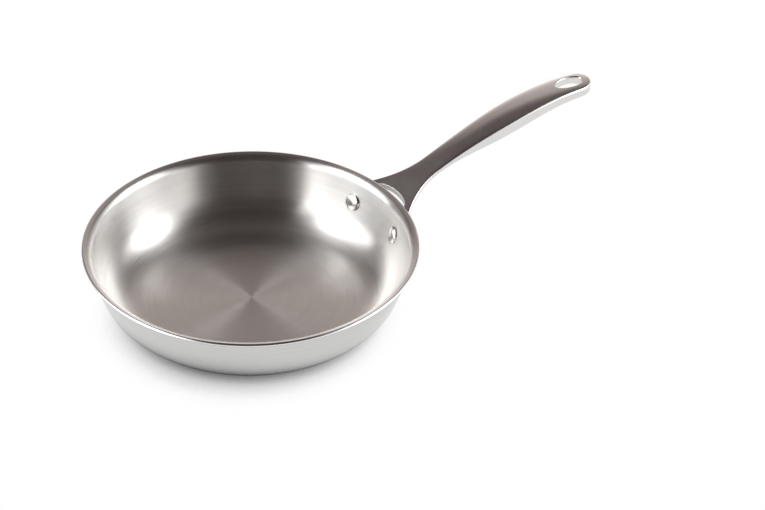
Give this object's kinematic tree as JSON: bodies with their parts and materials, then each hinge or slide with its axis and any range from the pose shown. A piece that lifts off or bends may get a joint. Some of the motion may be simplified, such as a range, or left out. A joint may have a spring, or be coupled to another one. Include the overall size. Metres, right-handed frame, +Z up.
{
  "type": "deep frying pan",
  "caption": "Round deep frying pan pressed from bonded steel and aluminium sheets, with a flared pouring lip and a riveted cast fork handle with a hanging hole.",
  "frame": {"origin": "middle of the flat base, on the face that the pan stands on", "axes": "+Z up out of the pan, +X along the handle towards its tip, +Y along the rim to the handle's left"},
  "size_m": [0.4436, 0.2504, 0.0928],
  "materials": {
    "outside_steel": "satin polished stainless steel",
    "core_aluminium": "plain rolled aluminium, edge polished",
    "inside_steel": "stainless steel brushed in rings",
    "handle_steel": "smooth polished cast stainless steel",
    "rivet_steel": "polished stainless steel"
  },
  "bodies": {
    "root": {"outer_skin": "outside_steel", "aluminium_core": "core_aluminium", "inner_skin": "inside_steel", "handle": "handle_steel", "rivet_left": "rivet_steel", "rivet_right": "rivet_steel"}
  },
  "joints": []
}
